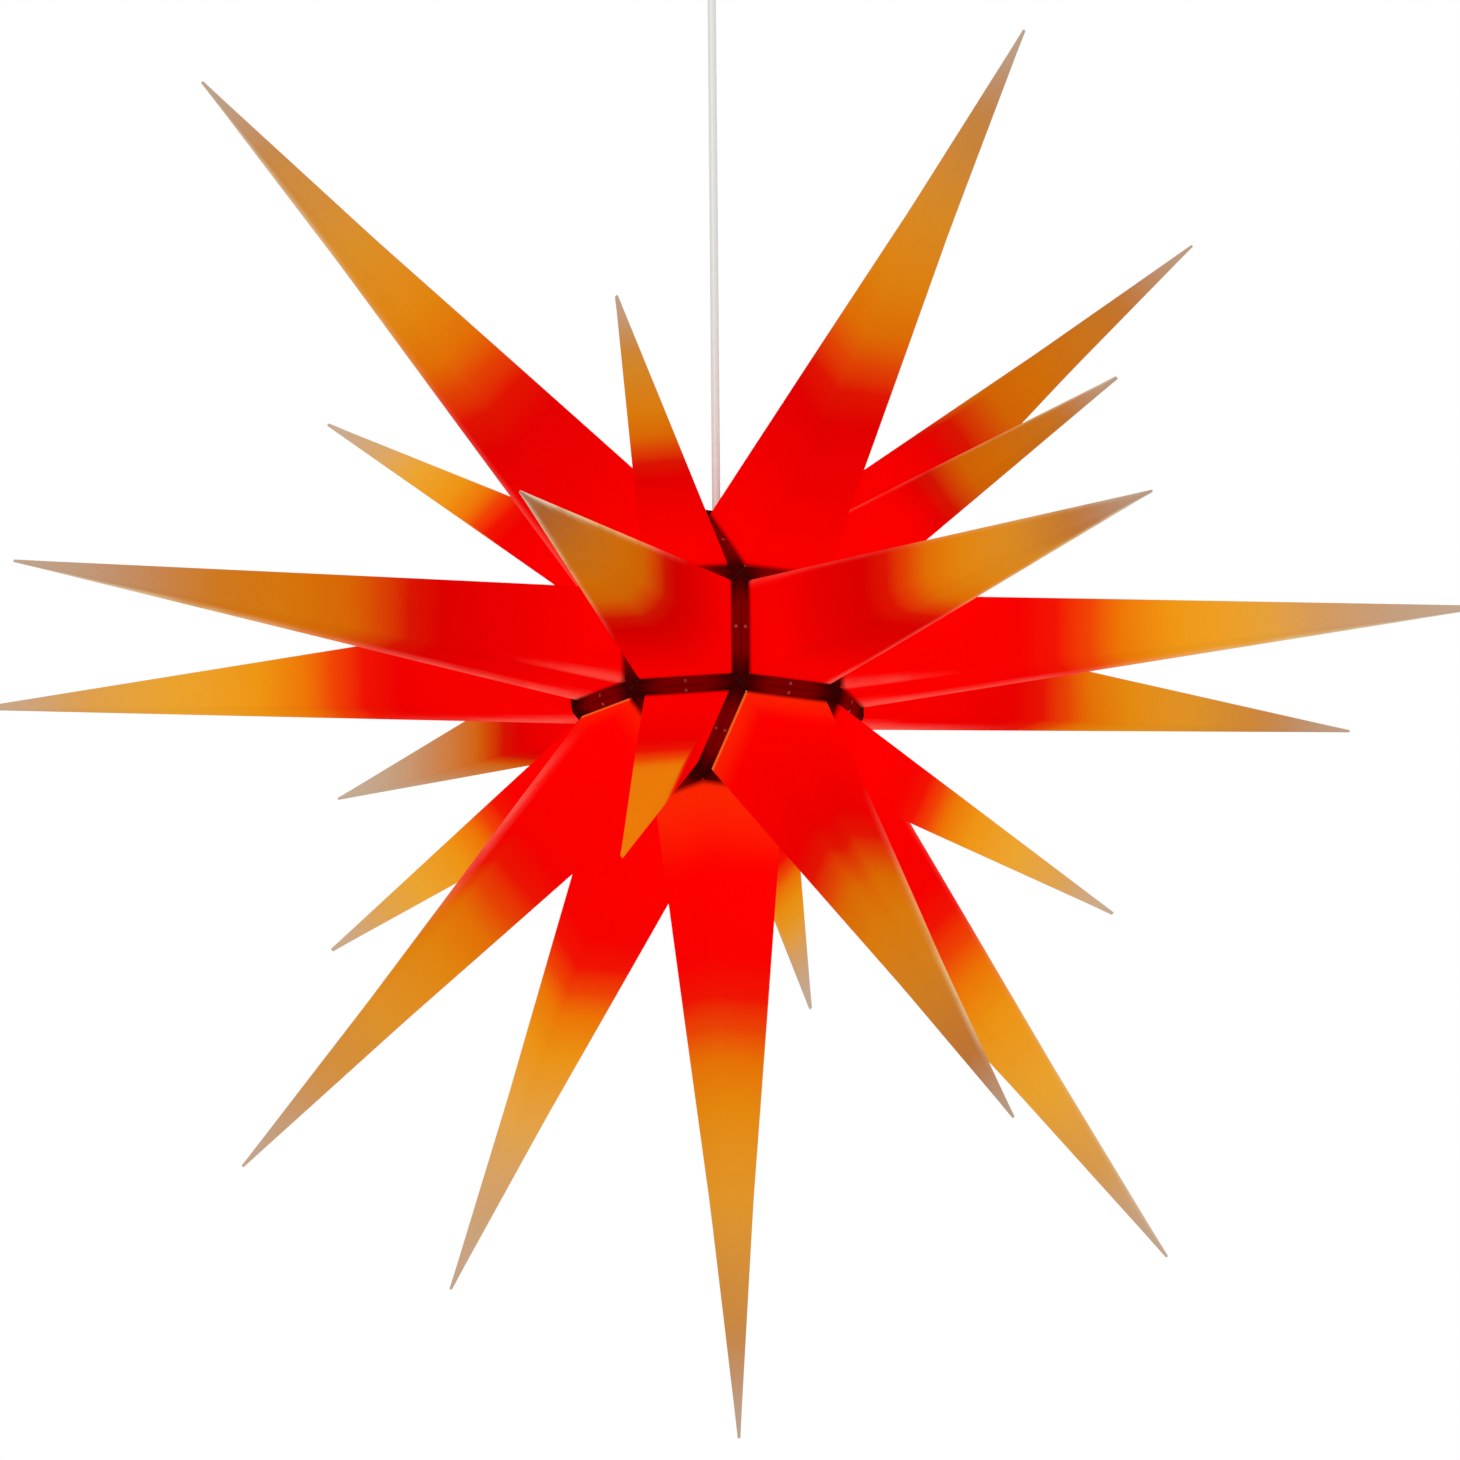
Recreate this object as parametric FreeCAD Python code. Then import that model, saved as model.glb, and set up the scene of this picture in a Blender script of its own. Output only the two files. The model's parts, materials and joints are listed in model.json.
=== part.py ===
import FreeCAD
import Part
import math
import os

# A moravian star pendant: 25 hollow points of folded paper stand on the faces of a 26-sided
# body, whose top face is left open for the lamp. Each point's paper foot is folded out over a
# card collar, and flat wire clips join the collars edge to edge. A wire hanger hooks into the
# two collars beside the open face and turns on the lampholder, which hangs on a white cord
# from a small ceiling canopy with a ball-jointed cord sleeve.
#
# Millimetres and degrees. +Z is up, +X is right and -Y is front. The origin is the middle of
# the ceiling bracket's top face, so the pendant hangs along -Z.

Vec = FreeCAD.Vector
UP = Vec(0, 0, 1)
FULL_TURN = 360.0
QUARTER_TURN = 90.0

# Star: body and points
FACE_SIDE = 51.0                 # edge length of the 26-sided body
SQUARE_REACH = 350.0             # star's centre to the tip of a four-sided point
TRIANGLE_REACH = 219.5           # star's centre to the tip of a three-sided point
SQUARE_FLANGE = 4.0              # folded-out foot round a four-sided point
TRIANGLE_FLANGE = 3.3            # folded-out foot round a three-sided point
PAPER = 0.4                      # thickness of the points' paper
CARD = 1.0                       # thickness of the collars' card
SEAM_GAP = 0.05                  # from a collar's edge to the middle of the seam
TIP_WIDTH = 1.0                  # across the flats of a folded tip
TIP_SOLID = 0.3                  # half width where the hollow of a point ends
WAIST_AT = 0.64                  # where a point is drawn in, as a share of its height
WAIST = {"ring": 1.0, "upper_square": 0.9, "upper_triangle": 1.0,
         "lower_square": 0.92, "lower_triangle": 1.0, "bottom": 0.89}
LEAN = {"ring": 0.4, "upper_square": -4.8, "upper_triangle": -2.2,
        "lower_square": -1.3, "lower_triangle": 0.0, "bottom": 0.0}
TAB_NOTCH = 1.0                  # gap between the folded-out tabs at a corner
TAB_ROOT = 0.8                   # how far the gap stays from the fold's corner
TAB_CUT = 1.0                    # how far the gap's cut reaches over and under the foot

# How far the tips of the points that hang off true stand from their places
TIP_DRIFT = {
    "point_ring_left": Vec(-5, 2, 2),
    "point_ring_front_left": Vec(1, 1.5, -8),
    "point_ring_back_left": Vec(0, 1, -3),
    "point_ring_right": Vec(-2, 0.5, 3),
    "point_upper_front": Vec(-2, 2, -3),
    "point_upper_left": Vec(-1, 0, 2.5),
    "point_upper_front_right": Vec(3, -1, -3),
    "point_lower_front": Vec(-3.5, 1, 4),
    "point_lower_right": Vec(-3, 2, -1),
    "point_lower_back_left": Vec(-1.5, 0, 3),
    "point_bottom": Vec(6, -2.5, -3.5),
}

# Clips across the seams
CLIP_THICKNESS = 0.4
CLIP_WIDTH = 1.2
CLIP_LEG_AT = 1.7                # seam to the leg's middle
CLIP_END = 1.1                   # clenched end, measured from the leg's middle
CLIP_SLIT_GAP = 0.1              # all round a leg in its slit
CLIP_LIFT = 0.05                 # between a clip and the sheet it lies on

# Wire hanger
HANGER_WIRE = 1.6
HANGER_HOLE_AT = 2.0             # open face's edge to the middle of the hole
HANGER_HOLE_GAP = 0.1            # all round the wire in its hole
HANGER_OUT = 2.4                 # how far the wire passes out of the collar
HANGER_HOOK = 4.5                # length of the hooked end
HANGER_BEND = 1.6                # bend radius at the wire's middle

# Lampholder, measured from its shoulder, which the hanger's eye rests on
SHOULDER_ABOVE_CENTRE = 54.0     # above the star's centre
HOLDER_RADIUS = 14.0
HOLDER_CAP_HEIGHT = 16.0
HOLDER_SKIRT_HEIGHT = 28.0
HOLDER_WALL = 2.0
HOLDER_TOP = 3.0                 # thickness of the cap's top
HOLDER_CHAMFER = 2.5
HOLDER_NECK = 8.0                # skirt's neck inside the cap
HOLDER_NECK_GAP = 0.2
HOLDER_FLOOR = 3.0               # skirt's floor above its bore
NIPPLE_RADIUS = 5.0
NIPPLE_HEIGHT = 6.9
RUNNING_GAP = 0.3                # between pieces that turn or swing past each other
CONTACT_INNER = 7.2              # inside of the threaded contact shell
CONTACT_WALL = 0.55
CONTACT_HEIGHT = 15.0
CENTRE_CONTACT_LENGTH = 5.0
CENTRE_CONTACT_WIDTH = 3.0
CENTRE_CONTACT_THICKNESS = 0.4
FIT_GAP = 0.05                   # between fixed pieces that fit in each other

# Cord grip on the nipple
GRIP_HEIGHT = 12.0
GRIP_HEX_HEIGHT = 5.0
GRIP_RADIUS = 8.0
GRIP_TOP_RADIUS = 3.4
GRIP_SIDES = 6

# Bulb
BULB_CAP_RADIUS = 6.9
BULB_CAP_HEIGHT = 14.0
BULB_TIP_HEIGHT = 3.0
BULB_TIP_RADIUS = 2.5
BULB_NECK_RADIUS = 9.0
BULB_SEAT_GAP = 0.4              # lampholder's mouth to the bulb's housing
BULB_HOUSING_RADIUS = 16.5
BULB_HOUSING_TAPER = 10.0
BULB_HOUSING_HEIGHT = 20.0
GLOBE_RADIUS = 17.5
GLOBE_LENGTH = 34.0

# Cord, sleeve and their two pivots
CORD_RADIUS = 1.9
CORD_FREE_LENGTH = 255.0         # sleeve's mouth to the cord grip
CORD_END_IN_CAP = 1.0            # cord standing out under the cap's top
BALL_RADIUS = 7.0
BALL_TOP = 4.5                   # ball's middle to its flat top
SLEEVE_LENGTH = 34.0             # ball's middle to the sleeve's mouth
SLEEVE_NECK_RADIUS = 3.2
SLEEVE_SHOULDER_AT = 10.0        # ball's middle to the sleeve's shoulder
SLEEVE_SHOULDER_RADIUS = 5.0
SLEEVE_MOUTH_RADIUS = 3.7
SLEEVE_RIBS = 4
SLEEVE_GROOVE_DEPTH = 0.6
CORD_PIVOT_IN_MOUTH = 2.0        # sleeve's mouth up to the cord's pivot
CORD_PIVOT_GAP = 0.35            # round the cord's end in the sleeve
CORD_END_GAP = 0.9               # cord's end to the core above it
CORE_STANDS_OUT = 1.5            # ball's flat top to the core's upper end
MOUTH_FLARE = 0.75               # how much wider the bore is at the mouth

# Ceiling canopy and bracket
CANOPY_RADIUS = 40.0
CANOPY_DEPTH = 24.0
CANOPY_WALL = 1.6
CANOPY_FLOOR = 2.0
CANOPY_CHAMFER = 7.0             # sloping edge between wall and floor
SEAT_BOSS_RADIUS = 10.5
SEAT_BOSS_BELOW_BALL = 1.0       # boss's top under the ball's middle
SEAT_FROM_AXIS = 45.0            # where the ball's seat ends, from straight down
SEAT_FLARE = 1.1                 # how much wider the outlet is underneath
BRACKET_SHEET = 1.5
BRACKET_WIDTH = 14.0
BRACKET_GAP = 1.4                # between the bracket's ends and the canopy's wall
BRACKET_LUG = 11.0
BRACKET_HOLE_RADIUS = 6.0
LUG_HOLE_OVERRUN = 1.0           # screw hole's cut past both faces of the lug
SLOT_SPACING = 54.0
SLOT_RADIUS = 2.25
SLOT_LENGTH = 10.0
SCREW_RADIUS = 1.45
SCREW_HOLE_RADIUS = 1.5
SCREW_DROP = 7.0                 # ceiling to the canopy screws
SCREW_INSIDE = 2.0               # screw's end past the lug
SCREW_HEAD_RADIUS = 2.8
SCREW_HEAD_HEIGHT = 1.6
BLOCK_LENGTH = 13.0
BLOCK_WIDTH = 13.0
BLOCK_HEIGHT = 9.0
BLOCK_FROM_AXIS = 7.0
BLOCK_BORE_GAP = 0.05
BLOCK_SCREW_RADIUS = 1.5
BLOCK_SCREW_DEPTH = 3.0
LEAD_RADIUS = 0.6
LEAD_SPACING = 2.2               # between the leads where they leave the cord
POLE_SPACING = 6.0               # between the terminal block's entries
LEAD_START_GAP = 0.6
LEAD_RISE = 3.5
LEAD_IN_BLOCK = 3.0
LEAD_BEND = 1.6

# Heights that follow from the stack under the ceiling
BALL_Z = BALL_RADIUS - CANOPY_DEPTH
MOUTH_Z = BALL_Z - SLEEVE_LENGTH
CORD_PIVOT_Z = MOUTH_Z + CORD_PIVOT_IN_MOUTH
GRIP_TOP_Z = MOUTH_Z - CORD_FREE_LENGTH
GRIP_Z = GRIP_TOP_Z - GRIP_HEIGHT
SHOULDER_Z = GRIP_Z - HANGER_WIRE - 2 * RUNNING_GAP
CENTRE_Z = SHOULDER_Z - SHOULDER_ABOVE_CENTRE
HOLDER_JOINT_Z = SHOULDER_Z - HOLDER_CAP_HEIGHT
HOLDER_MOUTH_Z = HOLDER_JOINT_Z - HOLDER_SKIRT_HEIGHT
CORE_TOP_Z = BALL_Z + BALL_TOP + CORE_STANDS_OUT

BRACKET_HALF_LENGTH = CANOPY_RADIUS - CANOPY_WALL - BRACKET_GAP

STAR_CENTRE = Vec(0, 0, CENTRE_Z)
SQUARE_ANGLE = 45.0
TRIANGLE_ANGLE = math.degrees(math.atan(1 / math.sqrt(2)))
COLUMNS = ("front", "front_right", "right", "back_right",
           "back", "back_left", "left", "front_left")
COLUMN_STEP = FULL_TURN / len(COLUMNS)


# ---------------------------------------------------------------- plain shapes

def turned(profile):
    """A solid turned about the pendant's axis from (radius, height) corners."""
    corners = [Vec(radius, 0, height) for radius, height in profile]
    outline = Part.makePolygon(corners + corners[:1])
    return Part.Face(outline).revolve(Vec(0, 0, 0), UP, FULL_TURN)


def flat_sided(rings):
    """A solid with flat sides between rings whose edges run parallel, closed by flat ends."""
    first = rings[0][::-1]
    last = rings[-1]
    faces = [Part.Face(Part.makePolygon(ring + ring[:1])) for ring in (first, last)]
    for lower, upper in zip(rings, rings[1:]):
        pairs = list(zip(lower, upper))
        for (low_a, high_a), (low_b, high_b) in zip(pairs, pairs[1:] + pairs[:1]):
            faces.append(Part.Face(Part.makePolygon([low_a, low_b, high_b, high_a, low_a])))
    return Part.Solid(Part.Shell(faces))


def rod(start, end, radius):
    """A round bar from one place to another."""
    along = end - start
    return Part.makeCylinder(radius, along.Length, start, along)


def block(low, high):
    """A box between two opposite corners."""
    size = high - low
    return Part.makeBox(size.x, size.y, size.z, low)


def bent_wire(corners, radius, bend_radius):
    """A round wire: straight runs along the corners, joined by round bends."""
    pieces = []
    start = corners[0]
    for corner, after in zip(corners[1:], corners[2:]):
        along = (corner - start).normalize()
        ahead = (after - corner).normalize()
        turn = along.getAngle(ahead)
        axis = along.cross(ahead).normalize()
        setback = bend_radius * math.tan(turn / 2)
        bend_start = corner - along * setback
        middle = bend_start + axis.cross(along) * bend_radius
        section = Part.Face(Part.Wire(Part.makeCircle(radius, bend_start, along)))
        pieces.append(rod(start, bend_start, radius))
        pieces.append(section.revolve(middle, axis, math.degrees(turn)))
        start = corner + ahead * setback
    return rod(start, corners[-1], radius).fuse(pieces).removeSplitter()


def strip_outline(path, across, thickness):
    """The closed outline of a strip bent along a flat path, with mitred corners."""
    sides = [across.cross(end - start).normalize() for start, end in zip(path, path[1:])]
    left = []
    right = []
    for place, before, after in zip(path, sides[:1] + sides, sides + sides[-1:]):
        mitre = (before + after) * (thickness / 2 / (1 + before.dot(after)))
        left.append(place + mitre)
        right.append(place - mitre)
    outline = left + right[::-1]
    return Part.makePolygon(outline + outline[:1])


# ------------------------------------------------------------- faces and points

def direction(column, elevation):
    """The unit vector at a column of the star and an elevation; column 0 is the front."""
    turn = math.radians(column * COLUMN_STEP)
    rise = math.radians(elevation)
    return Vec(math.sin(turn) * math.cos(rise), -math.cos(turn) * math.cos(rise), math.sin(rise))


def body_corners():
    """The 24 corners of the body, a rhombicuboctahedron, about its centre."""
    near = FACE_SIDE / 2
    far = near * (1 + math.sqrt(2))
    corners = []
    for x, y, z in ((near, near, far), (near, far, near), (far, near, near)):
        for sign_x in (-1, 1):
            for sign_y in (-1, 1):
                for sign_z in (-1, 1):
                    corners.append(Vec(sign_x * x, sign_y * y, sign_z * z))
    return corners


BODY_CORNERS = body_corners()


class StarPoint:
    """One face of the body and the paper point that stands on it."""

    def __init__(self, name, family, column, elevation):
        self.name = name
        self.family = family
        self.normal = direction(column, elevation)
        distance = max(corner.dot(self.normal) for corner in BODY_CORNERS)
        self.middle = self.normal * distance
        self.corners = self.face_corners(distance)
        is_square = len(self.corners) == 4
        reach = SQUARE_REACH if is_square else TRIANGLE_REACH
        axis = direction(column, elevation + LEAN[family])
        self.tip = self.middle + axis * (reach - distance) + TIP_DRIFT.get(name, Vec(0, 0, 0))
        self.distance = distance
        edge_middle = (self.corners[0] + self.corners[1]) * 0.5
        self.apothem = (edge_middle - self.middle).Length
        self.foot = self.apothem - (SQUARE_FLANGE if is_square else TRIANGLE_FLANGE)

    def face_corners(self, distance):
        """The body's corners on this face, in order round it."""
        own = [corner for corner in BODY_CORNERS if corner.dot(self.normal) > distance - FIT_GAP]
        first = (own[0] - self.middle).normalize()
        second = self.normal.cross(first)

        def angle(corner):
            arm = corner - self.middle
            return math.atan2(arm.dot(second), arm.dot(first))

        return sorted(own, key=angle)

    def outline(self, middle, half_width):
        """The face's corners, moved to a middle and sized by the half width across flats."""
        size = half_width / self.apothem
        return [STAR_CENTRE + middle + (corner - self.middle) * size for corner in self.corners]

    def sheet_outline(self, depth):
        """The corners of a flat sheet at a depth under the face; its edges lean to the centre."""
        share = 1 - depth / self.distance
        return self.outline(self.middle * share, self.apothem * share - SEAM_GAP)

    def height_outline(self, share, half_width):
        """The point's corners at a share of the way from the foot to the tip."""
        return self.outline(self.middle + (self.tip - self.middle) * share, half_width)

    def half_width(self, share):
        """The paper's half width at a share of the height, drawn in at the waist."""
        tip = TIP_WIDTH / 2
        waist = (self.foot + (tip - self.foot) * WAIST_AT) * WAIST[self.family]
        if share < WAIST_AT:
            return self.foot + (waist - self.foot) * share / WAIST_AT
        return waist + (tip - waist) * (share - WAIST_AT) / (1 - WAIST_AT)

    def hollow_end(self):
        """The share of the height where the hollow of the point ends."""
        waist = self.half_width(WAIST_AT)
        tip = self.half_width(1)
        return WAIST_AT + (1 - WAIST_AT) * (waist - TIP_SOLID - PAPER) / (waist - tip)

    def edges(self):
        """The face's edges as pairs of corners."""
        return list(zip(self.corners, self.corners[1:] + self.corners[:1]))


def star_points():
    """The 25 points, row by row. The top face is left open and has none."""
    points = []
    for column, side in enumerate(COLUMNS):
        points.append(StarPoint("point_ring_" + side, "ring", column, 0))
        for row, sign in (("upper", 1), ("lower", -1)):
            is_square = column % 2 == 0
            elevation = SQUARE_ANGLE if is_square else TRIANGLE_ANGLE
            family = row + ("_square" if is_square else "_triangle")
            name = "point_" + row + "_" + side
            points.append(StarPoint(name, family, column, sign * elevation))
    points.append(StarPoint("point_bottom", "bottom", 0, -QUARTER_TURN))
    return points


def inward_from_edge(point, start, end):
    """The middle of an edge and the direction from it towards the middle of the face."""
    middle = (start + end) * 0.5
    return middle, (point.middle - middle).normalize()


def is_open_edge(start, end):
    """Whether an edge borders the open top face."""
    return min(start.z, end.z) > FACE_SIDE / 2 * (1 + math.sqrt(2)) - FIT_GAP


def fastener_cuts(point):
    """A clip's slit at the middle of each edge, or the hanger's hole at an open one."""
    cuts = []
    reach = PAPER + CARD + CLIP_THICKNESS
    for start, end in point.edges():
        middle, inward = inward_from_edge(point, start, end)
        if is_open_edge(start, end):
            at = STAR_CENTRE + middle + inward * HANGER_HOLE_AT
            radius = HANGER_WIRE / 2 + HANGER_HOLE_GAP
            cuts.append(rod(at - point.normal * reach, at + point.normal * reach, radius))
            continue
        along = (end - start).normalize() * (CLIP_WIDTH / 2 + CLIP_SLIT_GAP)
        wide = inward * (CLIP_THICKNESS / 2 + CLIP_SLIT_GAP)
        base = STAR_CENTRE + middle + inward * CLIP_LEG_AT - point.normal * reach
        corners = [base - along - wide, base + along - wide, base + along + wide, base - along + wide]
        slit = Part.Face(Part.makePolygon(corners + corners[:1]))
        cuts.append(slit.extrude(point.normal * (2 * reach)))
    return cuts


def corner_notches(point):
    """The gaps at the corners of the foot, where the folded-out tabs part."""
    notches = []
    size = point.foot / point.apothem
    reach = point.normal * TAB_CUT
    for corner in point.corners:
        outward = (corner - point.middle).normalize()
        start = STAR_CENTRE + point.middle + (corner - point.middle) * size + outward * TAB_ROOT
        across = point.normal.cross(outward) * (TAB_NOTCH / 2)
        end = start + outward * FACE_SIDE
        corners = [start - reach, end + across - reach, end - across - reach]
        notch = Part.Face(Part.makePolygon(corners + corners[:1]))
        notches.append(notch.extrude(reach * 2))
    return notches


def paper_point(point):
    """A hollow folded point with a blunt tip, and its foot folded out in tabs."""
    shares = (0, 1) if WAIST[point.family] == 1 else (0, WAIST_AT, 1)
    outside = [point.height_outline(share, point.half_width(share)) for share in shares]
    inside = [point.outline(point.middle * (1 - CARD / point.distance), point.foot - PAPER)]
    for share in shares[:-1]:
        inside.append(point.height_outline(share, point.half_width(share) - PAPER))
    inside.append(point.height_outline(point.hollow_end(), TIP_SOLID))
    flange = flat_sided([point.sheet_outline(PAPER), point.sheet_outline(0)])
    flange = flange.cut(corner_notches(point) + fastener_cuts(point))
    return flat_sided(outside).fuse(flange).cut(flat_sided(inside)).removeSplitter()


def collar(point):
    """The flat card frame under a point's foot."""
    top = PAPER
    bottom = PAPER + CARD
    frame = flat_sided([point.sheet_outline(bottom), point.sheet_outline(top)])
    width = point.foot - PAPER
    opening = flat_sided([point.outline(point.middle * (1 - 2 * bottom / point.distance), width),
                          point.outline(point.middle * (1 + bottom / point.distance), width)])
    return frame.cut([opening] + fastener_cuts(point))


def clip(first, second, start, end):
    """A flat wire clip across a seam: crown inside, ends clenched outside."""
    along = (end - start).normalize()
    lift = CLIP_LIFT + CLIP_THICKNESS / 2
    depth = PAPER + CARD + lift
    path = []
    for point in (first, second):
        middle, inward = inward_from_edge(point, start, end)
        base = STAR_CENTRE + middle
        side = [base + inward * (CLIP_LEG_AT + CLIP_END) + point.normal * lift,
                base + inward * CLIP_LEG_AT + point.normal * lift,
                base + inward * CLIP_LEG_AT - point.normal * depth]
        path = side if not path else path + side[::-1]
    outline = strip_outline([place - along * (CLIP_WIDTH / 2) for place in path], along,
                            CLIP_THICKNESS)
    return Part.Face(outline).extrude(along * CLIP_WIDTH)


def seam_clips(points):
    """One clip at the middle of each seam between two points."""
    clips = []
    seams = {}
    for point in points:
        for start, end in point.edges():
            middle = (start + end) * 0.5
            key = (round(middle.x), round(middle.y), round(middle.z))
            if key in seams:
                clips.append(clip(seams[key], point, start, end))
            seams[key] = point
    return Part.makeCompound(clips)


def hanger():
    """A wire with an eye round the lampholder's nipple and a hooked arm to each side."""
    radius = HANGER_WIRE / 2
    height = SHOULDER_Z + RUNNING_GAP + radius
    eye_radius = NIPPLE_RADIUS + RUNNING_GAP + radius
    shape = Part.makeTorus(eye_radius, radius, Vec(0, 0, height), UP)
    for sign in (-1, 1):
        normal = Vec(0, sign, 1).normalize()
        down_slope = Vec(0, sign, -1).normalize()
        edge = Vec(0, sign * FACE_SIDE / 2, FACE_SIDE / 2 * (1 + math.sqrt(2)))
        hole = STAR_CENTRE + edge + down_slope * HANGER_HOLE_AT
        drop = (hole.z - height) / normal.z
        out = hole + normal * HANGER_OUT
        corners = [Vec(0, sign * eye_radius, height), hole - normal * drop, out,
                   out - down_slope * HANGER_HOOK]
        shape = shape.fuse(bent_wire(corners, radius, HANGER_BEND))
    return shape


# ------------------------------------------------------------ lampholder and bulb

def holder_cap():
    """The lampholder's cap, with a hollow nipple on top for the cord."""
    outer = HOLDER_RADIUS
    inner = outer - HOLDER_WALL
    bore = CORD_RADIUS + FIT_GAP
    top = SHOULDER_Z
    return turned([(bore, top - HOLDER_TOP), (inner, top - HOLDER_TOP), (inner, HOLDER_JOINT_Z),
                   (outer, HOLDER_JOINT_Z), (outer, top - HOLDER_CHAMFER),
                   (outer - HOLDER_CHAMFER, top), (NIPPLE_RADIUS, top),
                   (NIPPLE_RADIUS, top + NIPPLE_HEIGHT), (bore, top + NIPPLE_HEIGHT)])


def holder_skirt():
    """The lampholder's skirt, whose neck fits inside the cap."""
    bore = CONTACT_INNER + CONTACT_WALL + FIT_GAP
    neck = HOLDER_RADIUS - HOLDER_WALL - HOLDER_NECK_GAP
    neck_top = HOLDER_JOINT_Z + HOLDER_NECK
    ceiling = HOLDER_JOINT_Z - HOLDER_FLOOR
    lead_hole = CORD_RADIUS
    return turned([(bore, HOLDER_MOUTH_Z), (HOLDER_RADIUS, HOLDER_MOUTH_Z),
                   (HOLDER_RADIUS, HOLDER_JOINT_Z), (neck, HOLDER_JOINT_Z), (neck, neck_top),
                   (neck - HOLDER_WALL, neck_top), (neck - HOLDER_WALL, HOLDER_JOINT_Z),
                   (lead_hole, HOLDER_JOINT_Z), (lead_hole, ceiling), (bore, ceiling)])


def holder_contacts():
    """The contact shell in the skirt's bore and the centre contact above it."""
    ceiling = HOLDER_JOINT_Z - HOLDER_FLOOR
    outer = CONTACT_INNER + CONTACT_WALL
    shell = turned([(CONTACT_INNER, ceiling - CONTACT_HEIGHT), (outer, ceiling - CONTACT_HEIGHT),
                    (outer, ceiling), (CONTACT_INNER, ceiling)])
    size = Vec(CENTRE_CONTACT_LENGTH, CENTRE_CONTACT_WIDTH, CENTRE_CONTACT_THICKNESS)
    low = Vec(-size.x / 2, -size.y / 2, ceiling - size.z)
    centre = block(low, low + size)
    return Part.makeCompound([shell, centre])


def cord_grip():
    """A hexagonal nut with a tapered collet, screwed on the nipple over the hanger's eye."""
    nipple_bore = NIPPLE_RADIUS + FIT_GAP
    cord_bore = CORD_RADIUS + FIT_GAP
    hex_top = GRIP_Z + GRIP_HEX_HEIGHT
    nipple_top = SHOULDER_Z + NIPPLE_HEIGHT + FIT_GAP
    body = turned([(nipple_bore, GRIP_Z), (GRIP_RADIUS, GRIP_Z), (GRIP_RADIUS, hex_top),
                   (GRIP_TOP_RADIUS, GRIP_TOP_Z), (cord_bore, GRIP_TOP_Z),
                   (cord_bore, nipple_top), (nipple_bore, nipple_top)])
    flats = [Vec(GRIP_RADIUS, 0, 0)]
    while len(flats) < GRIP_SIDES:
        flats.append(FreeCAD.Rotation(UP, FULL_TURN / GRIP_SIDES).multVec(flats[-1]))
    outline = Part.makePolygon([place + Vec(0, 0, GRIP_Z) for place in flats + flats[:1]])
    return body.common(Part.Face(outline).extrude(UP * GRIP_HEIGHT))


def bulb_pieces():
    """The bulb's screw cap, its housing and its opal globe, screwed home."""
    seat = HOLDER_MOUTH_Z - BULB_SEAT_GAP
    cap_top = seat + BULB_CAP_HEIGHT
    screw_cap = turned([(0, seat), (BULB_CAP_RADIUS, seat), (BULB_CAP_RADIUS, cap_top),
                        (BULB_TIP_RADIUS, cap_top + BULB_TIP_HEIGHT),
                        (0, cap_top + BULB_TIP_HEIGHT)])
    rim = seat - BULB_HOUSING_HEIGHT
    end = rim - GLOBE_LENGTH
    housing = turned([(0, rim), (BULB_HOUSING_RADIUS, rim),
                      (BULB_HOUSING_RADIUS, seat - BULB_HOUSING_TAPER), (BULB_NECK_RADIUS, seat),
                      (0, seat)])
    dome_middle = Vec(0, 0, end + GLOBE_RADIUS)
    dome = Part.makeSphere(GLOBE_RADIUS, dome_middle, UP, -QUARTER_TURN, 0)
    globe = dome.fuse(rod(dome_middle, Vec(0, 0, rim), GLOBE_RADIUS)).removeSplitter()
    return {"bulb_screw_cap": screw_cap, "bulb_housing": housing, "bulb_globe": globe}


# -------------------------------------------------------------- cord and ceiling

def cord_sleeve():
    """The strain relief: a ball in the canopy's seat, a neck and a ribbed taper."""
    ball_end = math.degrees(math.asin(BALL_TOP / BALL_RADIUS))
    ball = Part.makeSphere(BALL_RADIUS, Vec(0, 0, BALL_Z), UP, -QUARTER_TURN, ball_end)
    ball_top = BALL_Z + BALL_TOP
    shoulder = BALL_Z - SLEEVE_SHOULDER_AT
    steps = 2 * SLEEVE_RIBS - 1
    pitch = (shoulder - MOUTH_Z) / steps
    taper = (SLEEVE_SHOULDER_RADIUS - SLEEVE_MOUTH_RADIUS) / steps
    profile = [(0, BALL_Z), (SLEEVE_NECK_RADIUS, BALL_Z), (SLEEVE_NECK_RADIUS, shoulder)]
    for step in range(steps):
        radius = SLEEVE_SHOULDER_RADIUS - step * taper
        if step % 2:
            radius -= SLEEVE_GROOVE_DEPTH
        profile += [(radius, shoulder - step * pitch), (radius, shoulder - (step + 1) * pitch)]
    profile.append((0, MOUTH_Z))
    core_bore = CORD_RADIUS + FIT_GAP
    cord_bore = CORD_RADIUS + CORD_PIVOT_GAP
    core_end = CORD_PIVOT_Z + CORD_END_GAP
    hollow = turned([(0, ball_top), (core_bore, ball_top), (core_bore, core_end),
                     (cord_bore, core_end), (cord_bore, CORD_PIVOT_Z),
                     (cord_bore + MOUTH_FLARE, MOUTH_Z), (0, MOUTH_Z)])
    return ball.fuse(turned(profile)).cut(hollow)


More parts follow.
